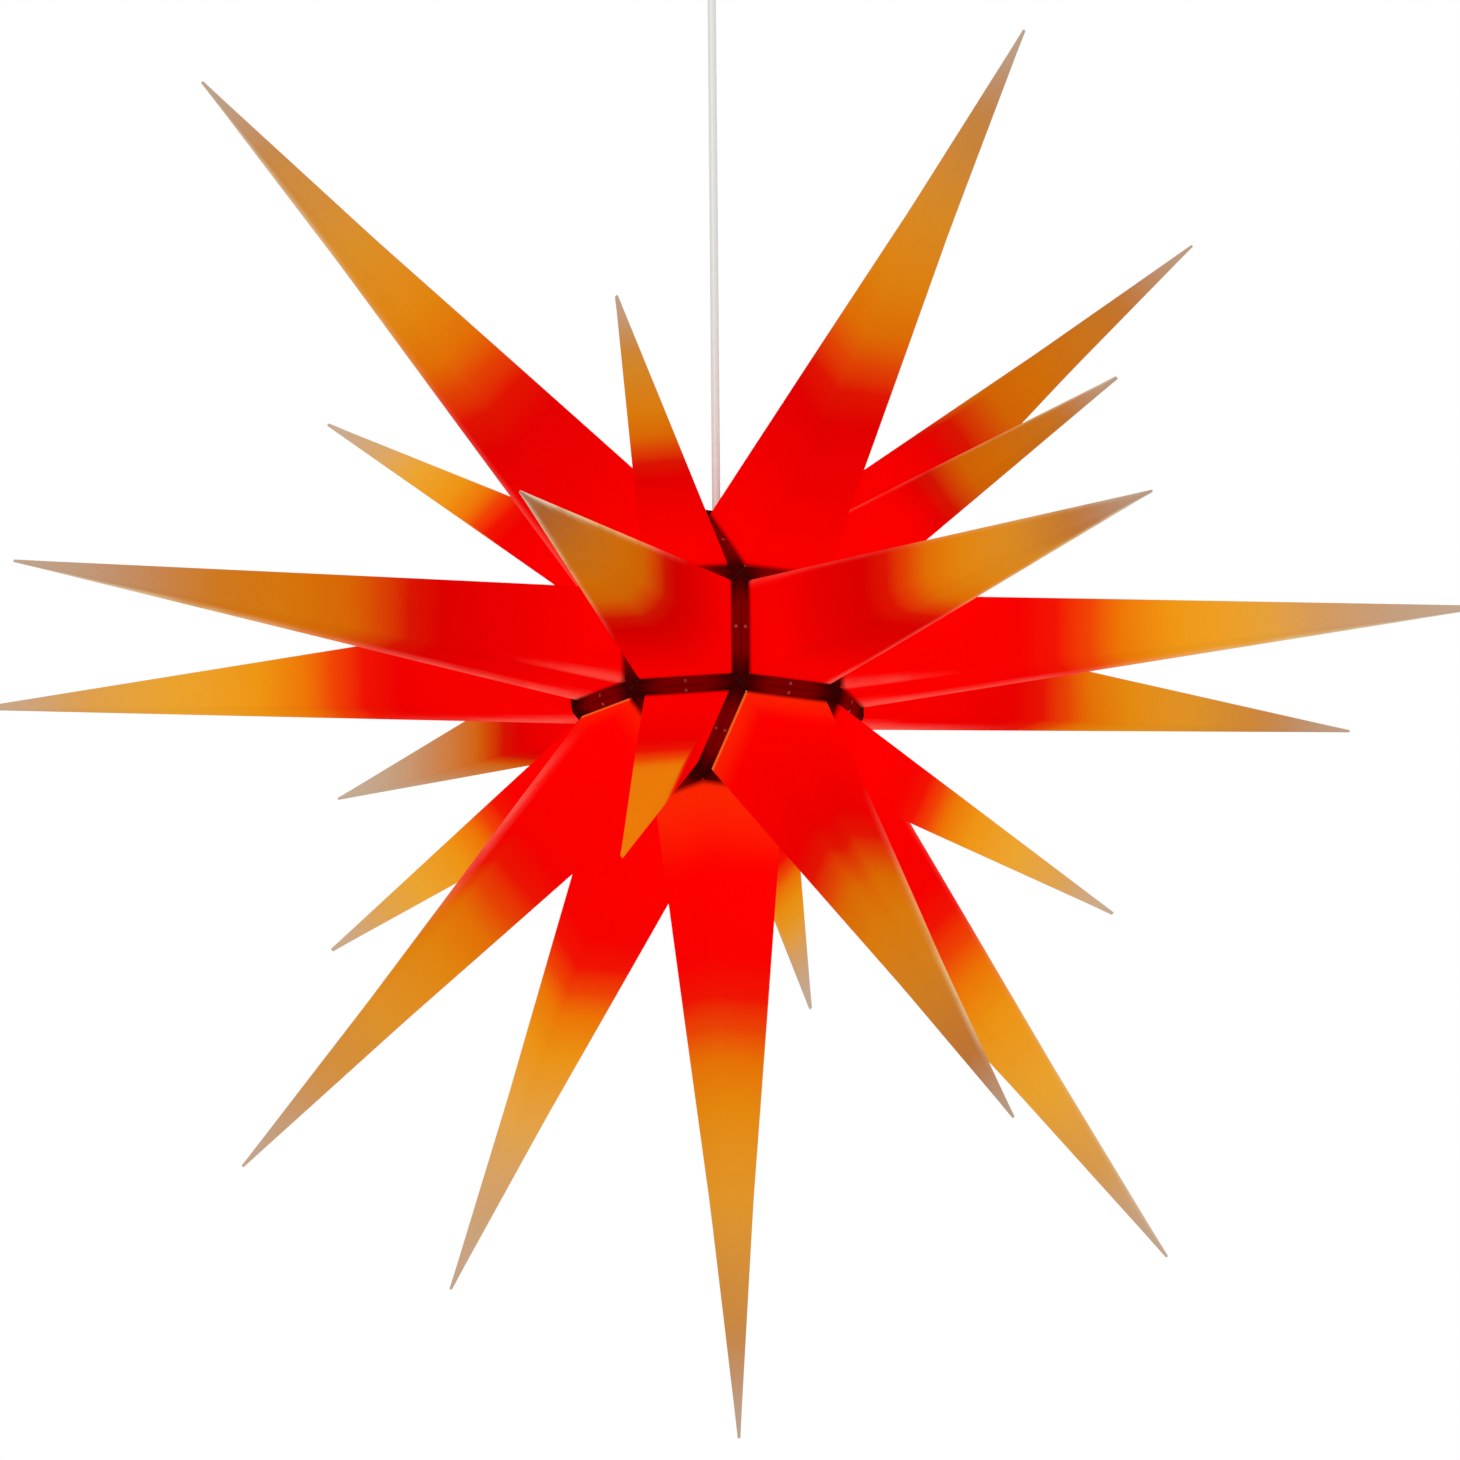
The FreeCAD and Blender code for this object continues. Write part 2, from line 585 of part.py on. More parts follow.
def canopy():
    """The ceiling cup, with a spherical seat for the sleeve's ball in its floor."""
    outer = CANOPY_RADIUS
    inner = outer - CANOPY_WALL
    bottom = -CANOPY_DEPTH
    floor = bottom + CANOPY_FLOOR
    inner_chamfer = CANOPY_CHAMFER - CANOPY_WALL
    boss_top = BALL_Z - SEAT_BOSS_BELOW_BALL
    cup = turned([(0, bottom), (outer - CANOPY_CHAMFER, bottom), (outer, bottom + CANOPY_CHAMFER),
                  (outer, 0), (inner, 0), (inner, floor + inner_chamfer),
                  (inner - inner_chamfer, floor), (SEAT_BOSS_RADIUS, floor),
                  (SEAT_BOSS_RADIUS, boss_top), (0, boss_top)])
    seat_radius = BALL_RADIUS + RUNNING_GAP
    seat = Part.makeSphere(seat_radius, Vec(0, 0, BALL_Z), UP, SEAT_FROM_AXIS - QUARTER_TURN,
                           QUARTER_TURN)
    outlet = seat_radius * math.sin(math.radians(SEAT_FROM_AXIS))
    outlet_z = BALL_Z - seat_radius * math.cos(math.radians(SEAT_FROM_AXIS))
    flare = turned([(0, bottom), (outlet + SEAT_FLARE, bottom), (outlet, outlet_z), (0, outlet_z)])
    screw_hole = rod(Vec(-2 * outer, 0, -SCREW_DROP), Vec(2 * outer, 0, -SCREW_DROP),
                     SCREW_HOLE_RADIUS)
    return cup.cut([seat, flare, screw_hole])


def ceiling_bracket():
    """A strip with two slots for ceiling screws, a cable hole and a lug at each end."""
    half = Vec(BRACKET_HALF_LENGTH, BRACKET_WIDTH / 2, 0)
    strip = block(Vec(-half.x, -half.y, -BRACKET_SHEET), half)
    cuts = [rod(Vec(0, 0, -BRACKET_SHEET), Vec(0, 0, 0), BRACKET_HOLE_RADIUS)]
    for sign in (-1, 1):
        lug_outer = sign * BRACKET_HALF_LENGTH
        lug_inner = lug_outer - sign * BRACKET_SHEET
        low = Vec(min(lug_outer, lug_inner), -half.y, -BRACKET_LUG)
        strip = strip.fuse(block(low, Vec(max(lug_outer, lug_inner), half.y, -BRACKET_SHEET)))
        middle = sign * SLOT_SPACING / 2
        straight = SLOT_LENGTH / 2 - SLOT_RADIUS
        cuts.append(block(Vec(middle - straight, -SLOT_RADIUS, -BRACKET_SHEET),
                          Vec(middle + straight, SLOT_RADIUS, 0)))
        for end in (middle - straight, middle + straight):
            cuts.append(rod(Vec(end, 0, -BRACKET_SHEET), Vec(end, 0, 0), SLOT_RADIUS))
        overrun = sign * LUG_HOLE_OVERRUN
        cuts.append(rod(Vec(lug_inner - overrun, 0, -SCREW_DROP),
                        Vec(lug_outer + overrun, 0, -SCREW_DROP), SCREW_HOLE_RADIUS))
    return strip.removeSplitter().cut(cuts)


def canopy_screws():
    """Two screws through the canopy's wall into the bracket's lugs."""
    screws = []
    for sign in (-1, 1):
        inside = Vec(sign * (BRACKET_HALF_LENGTH - BRACKET_SHEET - SCREW_INSIDE), 0, -SCREW_DROP)
        seat = Vec(sign * CANOPY_RADIUS, 0, -SCREW_DROP)
        head_end = seat + Vec(sign * SCREW_HEAD_HEIGHT, 0, 0)
        shank = rod(inside, seat, SCREW_RADIUS)
        screws.append(shank.fuse(rod(seat, head_end, SCREW_HEAD_RADIUS)))
    return Part.makeCompound(screws)


def lead_corners(side):
    """A supply lead's corners, from the cord's end into the terminal block."""
    start_z = CORE_TOP_Z + LEAD_START_GAP
    level = start_z + LEAD_RISE
    near = side * LEAD_SPACING / 2
    far = side * POLE_SPACING / 2
    return [Vec(0, near, start_z), Vec(0, near, level), Vec(BLOCK_FROM_AXIS / 2, far, level),
            Vec(BLOCK_FROM_AXIS + LEAD_IN_BLOCK, far, level)]


def supply_leads():
    """The two leads in the canopy, from the cord's end into the terminal block."""
    return Part.makeCompound([bent_wire(lead_corners(side), LEAD_RADIUS, LEAD_BEND)
                              for side in (-1, 1)])


def terminal_block():
    """A two-pole terminal block under the bracket, with entries and screw wells."""
    size = Vec(BLOCK_LENGTH, BLOCK_WIDTH, BLOCK_HEIGHT)
    low = Vec(BLOCK_FROM_AXIS, -size.y / 2, -BRACKET_SHEET - size.z)
    shape = block(low, low + size)
    cuts = []
    for side in (-1, 1):
        entry = lead_corners(side)[-1]
        bore = LEAD_RADIUS + BLOCK_BORE_GAP
        cuts.append(rod(Vec(BLOCK_FROM_AXIS, entry.y, entry.z), entry, bore))
        well = Vec(BLOCK_FROM_AXIS + size.x / 2, entry.y, low.z)
        cuts.append(rod(well, well + UP * BLOCK_SCREW_DEPTH, BLOCK_SCREW_RADIUS))
    return shape.cut(cuts)


# ---------------------------------------------------------------------- assembly

def build():
    """Every sub-part by name."""
    points = star_points()
    parts = {point.name: paper_point(point) for point in points}
    for family in LEAN:
        own = [point for point in points if point.family == family]
        name = "collar_bottom" if family == "bottom" else "collars_" + family
        parts[name] = Part.makeCompound([collar(point) for point in own])
    parts["seam_clips"] = seam_clips(points)
    parts["wire_hanger"] = hanger()
    parts["lampholder_cap"] = holder_cap()
    parts["lampholder_skirt"] = holder_skirt()
    parts["lampholder_contacts"] = holder_contacts()
    parts["cord_grip"] = cord_grip()
    parts["pendant_cord"] = rod(Vec(0, 0, SHOULDER_Z - HOLDER_TOP - CORD_END_IN_CAP),
                                Vec(0, 0, CORD_PIVOT_Z), CORD_RADIUS)
    parts.update(bulb_pieces())
    parts["cord_sleeve"] = cord_sleeve()
    parts["cord_core"] = rod(Vec(0, 0, CORD_PIVOT_Z + CORD_END_GAP), Vec(0, 0, CORE_TOP_Z),
                             CORD_RADIUS)
    parts["ceiling_canopy"] = canopy()
    parts["ceiling_bracket"] = ceiling_bracket()
    parts["canopy_screws"] = canopy_screws()
    parts["terminal_block"] = terminal_block()
    parts["supply_leads"] = supply_leads()
    return parts


os.makedirs("parts", exist_ok=True)
for node, solid in build().items():
    print(node, len(solid.Solids), solid.isValid(), round(solid.Volume, 1))
    solid.exportStep("parts/" + node + ".step")
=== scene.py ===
import json
import math

import bpy
from mathutils import Matrix, Vector


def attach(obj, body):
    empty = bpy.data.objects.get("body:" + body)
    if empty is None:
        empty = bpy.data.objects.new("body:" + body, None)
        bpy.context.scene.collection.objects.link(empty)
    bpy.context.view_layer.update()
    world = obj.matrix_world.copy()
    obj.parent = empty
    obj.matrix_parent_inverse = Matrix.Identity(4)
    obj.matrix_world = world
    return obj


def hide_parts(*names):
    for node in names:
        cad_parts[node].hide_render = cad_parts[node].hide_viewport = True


# A moravian star pendant of folded paper, lit from inside. Metres and degrees, in the CAD frame:
# +Z is up, -Y is the front, and the origin is the middle of the ceiling bracket's top face.

MM = 1000                        # millimetres in a metre

# Star, as in the part's source
FACE_SIDE = 0.051                # edge length of the 26-sided body
SQUARE_REACH = 0.350             # star's centre to the tip of a four-sided point
TRIANGLE_REACH = 0.2195          # star's centre to the tip of a three-sided point
SQUARE_FLANGE = 0.0040           # folded-out foot round a four-sided point
TRIANGLE_FLANGE = 0.0033         # folded-out foot round a three-sided point
PAPER = 0.0004                   # thickness of the points' paper
SEAM_GAP = 0.00005               # from a tab's edge to the middle of the seam
TIP_WIDTH = 0.0010               # across the flats of a folded tip
WAIST_AT = 0.64                  # where a point is drawn in, as a share of its height
# Width at the waist, as a share of a straight side's, and how far the axis leans up, in degrees
WAIST = {"ring": 1.0, "upper_square": 0.9, "upper_triangle": 1.0,
         "lower_square": 0.92, "lower_triangle": 1.0, "bottom": 0.89}
LEAN = {"ring": 0.4, "upper_square": -4.8, "upper_triangle": -2.2,
        "lower_square": -1.3, "lower_triangle": 0.0, "bottom": 0.0}
TAB_NOTCH = 0.0010               # gap between the folded-out tabs at a corner
TAB_INSET = TAB_NOTCH * 0.7      # what the slanting gap takes off the end of a tab
# How far the tips of the points that hang off true stand from their places
TIP_DRIFT = {
    "point_ring_left": (-0.005, 0.002, 0.002),
    "point_ring_front_left": (0.001, 0.0015, -0.008),
    "point_ring_back_left": (0, 0.001, -0.003),
    "point_ring_right": (-0.002, 0.0005, 0.003),
    "point_upper_front": (-0.002, 0.002, -0.003),
    "point_upper_left": (-0.001, 0, 0.0025),
    "point_upper_front_right": (0.003, -0.001, -0.003),
    "point_lower_front": (-0.0035, 0.001, 0.004),
    "point_lower_right": (-0.003, 0.002, -0.001),
    "point_lower_back_left": (-0.0015, 0, 0.003),
    "point_bottom": (0.006, -0.0025, -0.0035),
}
STAR_CENTRE = Vector((0, 0, -0.3742))
COLUMNS = ("front", "front_right", "right", "back_right",
           "back", "back_left", "left", "front_left")
COLUMN_STEP = 360 / len(COLUMNS)
SQUARE_ELEVATION = 45
TRIANGLE_ELEVATION = math.degrees(math.atan(1 / math.sqrt(2)))
STRAIGHT_DOWN = -90
SAME_FACE = 0.0001               # corners this near to a face's distance lie on the face

# Where the airbrushed red ends on each point: how far beyond its usual place, as a share of height
USUAL_DRIFT = 0.03
SPRAY_DRIFT = {
    "point_ring_front": 0.06, "point_ring_front_left": 0.04, "point_ring_left": 0.07,
    "point_ring_front_right": 0.04, "point_ring_right": 0.065, "point_ring_back_left": 0.05,
    "point_ring_back": 0.075, "point_upper_front": 0.035, "point_upper_front_right": 0.095,
    "point_upper_right": 0.08, "point_upper_front_left": 0.1, "point_upper_left": 0.03,
    "point_upper_back_left": 0.06, "point_lower_front": 0.045, "point_lower_front_right": 0.045,
    "point_lower_right": 0.03, "point_lower_front_left": 0.06, "point_lower_left": 0.045,
    "point_lower_back_right": 0.07, "point_lower_back": 0.045, "point_lower_back_left": 0.055,
    "point_bottom": 0.025,
}
# How much farther the red reaches along the fold nearest the camera
SPRAY_CREEP = {"point_ring_front_left": 0.04, "point_ring_front": 0.02, "point_lower_front": 0.035}
CREEP_SPREAD = 0.35              # share of a side over which it does
STAYS_ORANGE = {"point_lower_front_left": 0.475}  # no tan above this share of the height

# How bright the lamp makes each point, at its foot, middle and tip, from dull (0) to bright (1)
USUAL_BRIGHTNESS = (0.7, 0.6, 0.6)
BRIGHTNESS = {
    "point_ring_front": (0.15, 0.55, 0.05), "point_ring_front_left": (0.05, 0.05, 0.0),
    "point_ring_front_right": (1.0, 1.0, 0.3), "point_ring_left": (0.3, 0.2, 0.2),
    "point_ring_right": (0.6, 0.7, 0.3), "point_ring_back_left": (0.75, 1.0, 0.8),
    "point_ring_back": (0.5, 0.1, 0.4), "point_lower_back_right": (1.0, 0.9, 0.6),
    "point_upper_front": (0.4, 0.45, 0.4), "point_upper_front_right": (0.9, 0.0, 0.15),
    "point_upper_right": (0.75, 0.05, 0.2), "point_upper_front_left": (0.5, 0.35, 0.45),
    "point_upper_left": (0.45, 0.55, 0.5), "point_upper_back_left": (0.8, 1.0, 1.0),
    "point_lower_front": (0.6, 0.3, 0.15), "point_lower_front_right": (1.0, 1.0, 1.0),
    "point_lower_right": (0.9, 0.95, 0.75), "point_lower_front_left": (0.6, 0.9, 0.9),
    "point_lower_left": (0.85, 0.55, 0.6), "point_lower_back_left": (1.0, 1.0, 1.0),
    "point_lower_back": (1.0, 0.95, 0.75), "point_bottom": (1.0, 0.65, 0.45),
}
# Shares of the height between which one brightness turns into the next
FOOT_TO_MIDDLE = (0.25, 0.45)
MIDDLE_TO_TIP = (0.55, 0.95)

# Painted shade: where the colours start to grey towards the tip, as less of the lamp's light comes
# through, as a share of the height, and how far they do at the tip
USUAL_FADE = (0.78, 0.6)
FADES = {
    "point_ring_back": (0.42, 0.9), "point_ring_front_right": (0.6, 0.8),
    "point_ring_left": (0.65, 0.7), "point_ring_front_left": (0.9, 0.2),
    "point_lower_back_right": (0.6, 0.9), "point_lower_back": (0.5, 0.5),
    "point_upper_back_left": (0.65, 0.7), "point_upper_front": (0.84, 0.6),
    "point_upper_left": (0.84, 0.6), "point_lower_front": (0.84, 0.6),
    "point_bottom": (0.84, 0.6), "point_lower_front_left": (1.0, 0.0),
}
FADE_END = 1.001                 # past the tip, so that a fade can start as late as the tip

# Folds with painted highlights, where they catch the light: how pale, and the strip's width,
# by the side of the picture they lie on
HIGHLIT_FOLDS = {
    "point_ring_front_left": {"up": (1.0, 0.0028), "left": (0.7, 0.0026)},
    "point_ring_front": {"down": (0.9, 0.0028), "up": (0.3, 0.0022)},
    "point_ring_front_right": {"down": (0.8, 0.009), "near": (0.5, 0.0028)},
    "point_ring_left": {"down": (0.8, 0.009), "near": (0.5, 0.0028)},
    "point_ring_right": {"down": (1.0, 0.018)},
    "point_ring_back_left": {"down": (0.8, 0.013)},
    "point_upper_front_right": {"up": (0.5, 0.0024)},
    "point_upper_left": {"left": (0.55, 0.0050)},
    "point_lower_front": {"right": (0.9, 0.0042)},
    "point_lower_left": {"left": (1.0, 0.014)},
    "point_lower_right": {"right": (0.4, 0.0028)},
}
# Share of the height below which folds get no painted highlight, and where it fades out
HIGHLIGHT_FROM = {"point_ring_front_left": 0.3, "point_lower_front": 0.3, "point_lower_left": 0.12}
HIGHLIGHT_TO = {"point_ring_right": (0.1, 0.4), "point_ring_back_left": (0.1, 0.4),
             "point_lower_left": (0.3, 0.5), "point_lower_front": (0.7, 0.95)}
FROM_THE_FOOT = -1.0             # a start well below the foot
TO_THE_TIP = (2.0, 3.0)          # an end well beyond the tip
HIGHLIGHT_SOFTNESS = 0.1            # share of the height, each way, over which the highlight sets in
NEAR_FOLD_TO = (0.05, 0.2)       # where it fades out on a fold towards the camera
LINE_SPREAD = 2.0                # a highlit strip is as many times wider at the foot
LINE_FOOT_END = 0.15             # share of the height where it has narrowed
LINE_SHARE = 0.7                 # most of a side that it takes

# Light leaking at the glued feet of the lower points: how much, and millimetres up from the foot
WARM_FEET = {"point_bottom": (0.9, 42), "point_lower_front": (0.65, 20),
             "point_lower_left": (0.45, 16)}
NOT_WARM = (0.0, 1.0)
# Edges of a foot that let light through, by the side of the photograph they lie on
LEAKING_EDGES = {"point_lower_front": "left", "point_lower_left": "up"}

# Folds of the paper
FOLD_HALF_WIDTH = 0.00035        # half the rounding of a crisp fold
FOLD_FOOT_WIDTH = 0.0009         # half the width of a fold where it spreads at the foot
FOLD_SPREAD_TO = 0.34            # share of the height where the spread ends
FOLD_SPREAD_CURVE = 1.5          # the spread is more sudden towards the foot
FOLD_SHARE = 0.3                 # most of a point's half width that a fold takes

# Rows of vertices up a point and columns across each side; then the same for a tab
ROWS = 30
ROW_CROWDING = 1.5               # rows lie closer together towards the foot
SIDE_COLUMNS = (0, 0.02, 0.05, 0.09, 0.15, 0.3, 0.5, 0.7, 0.85, 0.91, 0.95, 0.98, 1)
TAB_ROWS = (0, 0.5, 1)
TAB_COLUMNS = (0, 0.1, 0.2, 0.35, 0.5, 0.65, 0.8, 0.9, 1)
SIDES, TABS = 0, 1               # material slots of a point's paper

# Cord
CORD_DIAMETER = 0.0038
CORD_TOP = Vector((0, 0, -0.049))
CORD_BOTTOM = Vector((0, 0, -0.3242))
CORD_NEAR_END = 6 * CORD_DIAMETER    # from an end to the next control point
CORD_ROUNDING = 6                # resolution of its round section
CORD_STEPS = 8                   # resolution along it

# Camera, fitted to the photograph
CAMERA_DISTANCE = 4.2728         # from the star's centre
CAMERA_BACK = Vector((-0.50954, -0.83033, -0.22564))    # from the star towards the camera
CAMERA_ROLL = math.radians(-0.51)
CAMERA_LENS = 233.66             # millimetres, as the sensor's width
CAMERA_SENSOR = 36
CAMERA_SHIFT = (0.0085, -0.0482)
CAMERA_CLIP = (0.1, 100)

# Share of each glowing piece's colour that comes from the lamp inside the star
PAPER_GLOW = 0.88
TAB_GLOW = 0.5
GLOBE_GLOW = 0.7

# Room
WHITE = (1, 1, 1, 1)
ROOM_LIGHT = 0.62                # strength of the light from all round
LAMPS = (                        # name, place, size across, power
    ("key", (-2.6, -2.2, 0.6), 1.6, 60),
    ("fill", (2.6, -1.8, -0.6), 2.0, 22),
)
FLOOR_Z = -2.4
FLOOR_HALF = 2.4


def add_object(name, data):
    """A new object in the scene."""
    thing = bpy.data.objects.new(name, data)
    bpy.context.collection.objects.link(thing)
    return thing


# ---------------------------------------------------------------- node trees

def srgb(red, green, blue):
    """A display colour, 0 to 255, as linear RGBA."""
    def linear(value):
        value /= 255
        return value / 12.92 if value <= 0.04045 else ((value + 0.055) / 1.055) ** 2.4
    return (linear(red), linear(green), linear(blue), 1)


class Graph:
    """A node tree with short calls for adding and joining nodes."""

    def __init__(self, owner):
        owner.use_nodes = True
        self.tree = owner.node_tree

    def add(self, kind, inputs=(), **settings):
        """A new node with its settings, and a value or a link for each input named."""
        node = self.tree.nodes.new(kind)
        for key, value in settings.items():
            setattr(node, key, value)
        for key, value in dict(inputs).items():
            self.feed(node.inputs[key], value)
        return node

    def feed(self, socket, value):
        if isinstance(value, bpy.types.NodeSocket):
            self.tree.links.new(value, socket)
        else:
            socket.default_value = value

    def math(self, operation, first, second=0.0, third=0.0):
        node = self.add("ShaderNodeMath", {0: first, 1: second, 2: third}, operation=operation)
        return node.outputs[0]

    def between(self, factor, low, high):
        """A value that runs from low to high while a factor runs from 0 to 1."""
        return self.math("MULTIPLY_ADD", factor, high - low, low)

    def smooth(self, value, low, high, at_low=0.0, at_high=1.0):
        """A soft step of a value from one level to another between two places."""
        node = self.add("ShaderNodeMapRange",
                        {"Value": value, "From Min": low, "From Max": high,
                         "To Min": at_low, "To Max": at_high},
                        interpolation_type="SMOOTHSTEP")
        return node.outputs[0]

    def mix(self, factor, first, second, blend="MIX"):
        """Two colours mixed, through the node's colour sockets 6, 7 and 2."""
        node = self.add("ShaderNodeMix", {"Factor": factor}, data_type="RGBA", blend_type=blend)
        self.feed(node.inputs[6], first)
        self.feed(node.inputs[7], second)
        return node.outputs[2]

    def attribute(self, name):
        return self.add("ShaderNodeAttribute", attribute_name=name).outputs["Fac"]

    def noise(self, scale, detail=3.0, roughness=0.5, squeeze=None):
        place = self.add("ShaderNodeTexCoord").outputs["Object"]
        if squeeze:
            place = self.add("ShaderNodeMapping", {"Vector": place, "Scale": squeeze}).outputs[0]
        node = self.add("ShaderNodeTexNoise", {"Vector": place, "Scale": scale,
                                               "Detail": detail, "Roughness": roughness})
        return node.outputs["Fac"]

    def ramp(self, value, colours):
        """A colour that runs through (place, display colour) stops."""
        node = self.add("ShaderNodeValToRGB", {"Fac": value})
        elements = node.color_ramp.elements
        while len(elements) < len(colours):
            elements.new(1)
        for element, (place, colour) in zip(elements, colours):
            element.position = place
            element.color = srgb(*colour)
        return node.outputs["Color"]


class Paint(Graph):
    """A material's node tree, with calls that set its shader."""

    def __init__(self, name):
        self.material = bpy.data.materials.new(name)
        super().__init__(self.material)
        self.shader = self.tree.nodes["Principled BSDF"]

    def surface(self, colour, roughness, metallic=0.0, specular=0.5):
        self.feed(self.shader.inputs["Base Color"], colour)
        self.feed(self.shader.inputs["Roughness"], roughness)
        self.shader.inputs["Metallic"].default_value = metallic
        self.shader.inputs["Specular IOR Level"].default_value = specular

    def glowing(self, colour, glow, roughness):
        """Part of the colour is lit from inside and the rest by the room."""
        room = 1 - glow
        self.surface(self.mix(1.0, colour, (room, room, room, 1), "MULTIPLY"), roughness,
                     specular=0.0)
        self.feed(self.shader.inputs["Emission Color"], colour)
        self.shader.inputs["Emission Strength"].default_value = glow

    def bump(self, height, strength, depth=0.0002):
        node = self.add("ShaderNodeBump", {"Height": height, "Strength": strength,
                                           "Distance": depth})
        self.feed(self.shader.inputs["Normal"], node.outputs[0])


# ---------------------------------------------------------------- paper materials

# Colours along a point, from its foot (0) to its tip (1), in painted light: the orange paper
# as the lamp inside lights it dimly and brightly, its tan and grey painted shade where less
# light reaches the tip
DIMLY_LIT_COLOURS = ((0.00, (246, 0, 0)), (0.15, (222, 0, 0)), (0.24, (208, 1, 0)),
                (0.30, (206, 22, 2)), (0.35, (210, 70, 4)), (0.40, (208, 98, 4)),
                (0.50, (206, 106, 8)), (0.66, (194, 106, 26)), (0.80, (178, 100, 42)),
                (0.90, (164, 102, 62)), (0.96, (156, 116, 90)), (1.00, (146, 124, 110)))
BRIGHTLY_LIT_COLOURS = ((0.00, (255, 0, 0)), (0.15, (254, 1, 0)), (0.24, (248, 2, 1)),
                  (0.30, (243, 20, 3)), (0.35, (240, 68, 5)), (0.40, (238, 120, 7)),
                  (0.48, (238, 150, 20)), (0.62, (236, 166, 48)), (0.80, (222, 164, 84)),
                  (0.90, (212, 164, 114)), (0.96, (198, 160, 132)), (1.00, (176, 152, 134)))
# Pale colours of the painted highlights at folds, from the foot to the tip
FOLD_HIGHLIGHT_COLOURS = ((0.00, (255, 96, 84)), (0.32, (246, 84, 74)), (0.40, (240, 150, 92)),
                (0.60, (232, 190, 130)), (0.80, (232, 212, 178)), (1.00, (222, 214, 204)))
TIP_GREY_COLOUR = srgb(198, 176, 154)
WARM_COLOUR = srgb(255, 42, 4)
RIM_COLOUR = srgb(255, 112, 36)
SHADE_COLOUR = srgb(104, 0, 0)
WANDER = (-0.025, 0.025)         # how far the colours' places wander, as shares of height
RIM_FADES = (0.8, 2.4)           # millimetres up a leaking foot where its bright rim fades out
RIM_STRENGTH = 0.9
SHADE_END = 3.0                  # millimetres up from the foot where its dark shade ends
LEAKING_SHADE_END = 0.8          # and where it does on a leaking side
SHADE_STRENGTH = 0.85
HIGHLIGHT_NOISE_LEVELS = (0.3, 0.6)         # noise levels for a fold's least and full painted highlight
LEAST_HIGHLIGHT = 0.6
FIBRE_SHADES = (0.95, 1.05)
CLOUD_SHADES = (-0.04, 0.04)
PAPER_ROUGHNESS = (0.75, 0.9)

# Tabs: colours from a tab's end towards its middle, and distances in millimetres
TAB_COLOURS = ((0.00, (58, 0, 0)), (0.55, (100, 0, 0)), (1.00, (122, 0, 0)))
SEAM_COLOUR = srgb(60, 0, 0)
TAB_END_REACH = (0.5, 15.0)
SEAM_SHADE_REACH = (0.1, 0.9)
SEAM_SHADE = 0.3
TAB_SHADES = (0.88, 1.13)
TAB_ROUGHNESS = 0.8


def paper_material():
    """Airbrushed paper: red at the foot, orange, tan and grey to the tip, in painted light.

    The lamp's brightness is painted in. The tan and grey towards the tip are painted shade where
    less light comes through, and some folds get pale painted highlights.
    """
    paint = Paint("star_paper")
    lift = paint.attribute("lift")
    leak = paint.attribute("leak")
    wander = paint.between(paint.noise(scale=9.0, detail=2.0), *WANDER)
    level = paint.math("ADD", paint.attribute("height"), wander)
    # Painted light: the lamp's brightness mixes the dimly lit and the brightly lit colours
    colour = paint.mix(paint.attribute("tone"), paint.ramp(level, DIMLY_LIT_COLOURS),
                       paint.ramp(level, BRIGHTLY_LIT_COLOURS))
    # Painted shade: greyer towards the tip, where less of the lamp's light comes through
    colour = paint.mix(paint.attribute("tip_grey"), colour, TIP_GREY_COLOUR)
    colour = paint.mix(paint.attribute("warm"), colour, WARM_COLOUR)
    rim = paint.smooth(lift, *RIM_FADES, at_low=RIM_STRENGTH, at_high=0.0)
    colour = paint.mix(paint.math("MULTIPLY", leak, rim), colour, RIM_COLOUR)
    # Painted highlights at some folds, broken up by noise
    highlight_noise = paint.smooth(paint.noise(scale=60.0, detail=4.0), *HIGHLIGHT_NOISE_LEVELS, at_low=LEAST_HIGHLIGHT)
    rubbed = paint.math("MULTIPLY", paint.attribute("rubbed"), highlight_noise)
    colour = paint.mix(rubbed, colour, paint.ramp(level, FOLD_HIGHLIGHT_COLOURS))
    shade_end = paint.between(leak, SHADE_END, LEAKING_SHADE_END)
    shade = paint.smooth(lift, 0.0, shade_end, at_low=SHADE_STRENGTH, at_high=0.0)
    colour = paint.mix(shade, colour, SHADE_COLOUR)
    fibres = paint.noise(scale=900.0, detail=4.0, roughness=0.7)
    clouds = paint.noise(scale=28.0)
    grain = paint.math("ADD", paint.between(fibres, *FIBRE_SHADES),
                       paint.between(clouds, *CLOUD_SHADES))
    colour = paint.mix(1.0, colour, grain, "MULTIPLY")
    paint.glowing(colour, PAPER_GLOW, paint.between(fibres, *PAPER_ROUGHNESS))
    paint.bump(fibres, strength=0.25)
    return paint.material


def tab_material():
    """The glued tabs over the card collars, which block the light: dark red, darkest in corners."""
    paint = Paint("star_paper_tabs")
    colour = paint.ramp(paint.smooth(paint.attribute("corner"), *TAB_END_REACH), TAB_COLOURS)
    shade = paint.smooth(paint.attribute("seam"), *SEAM_SHADE_REACH, at_low=SEAM_SHADE, at_high=0.0)
    colour = paint.mix(shade, colour, SEAM_COLOUR)
    fibres = paint.noise(scale=700.0, roughness=0.6)
    colour = paint.mix(1.0, colour, paint.between(fibres, *TAB_SHADES), "MULTIPLY")
    paint.glowing(colour, TAB_GLOW, TAB_ROUGHNESS)
    paint.bump(fibres, strength=0.3)
    return paint.material


# ------------------------------------------------------------- fitting materials

BRUSHED = (1, 1, 14)             # how far brushed metal's grain is squeezed along X, Y and Z

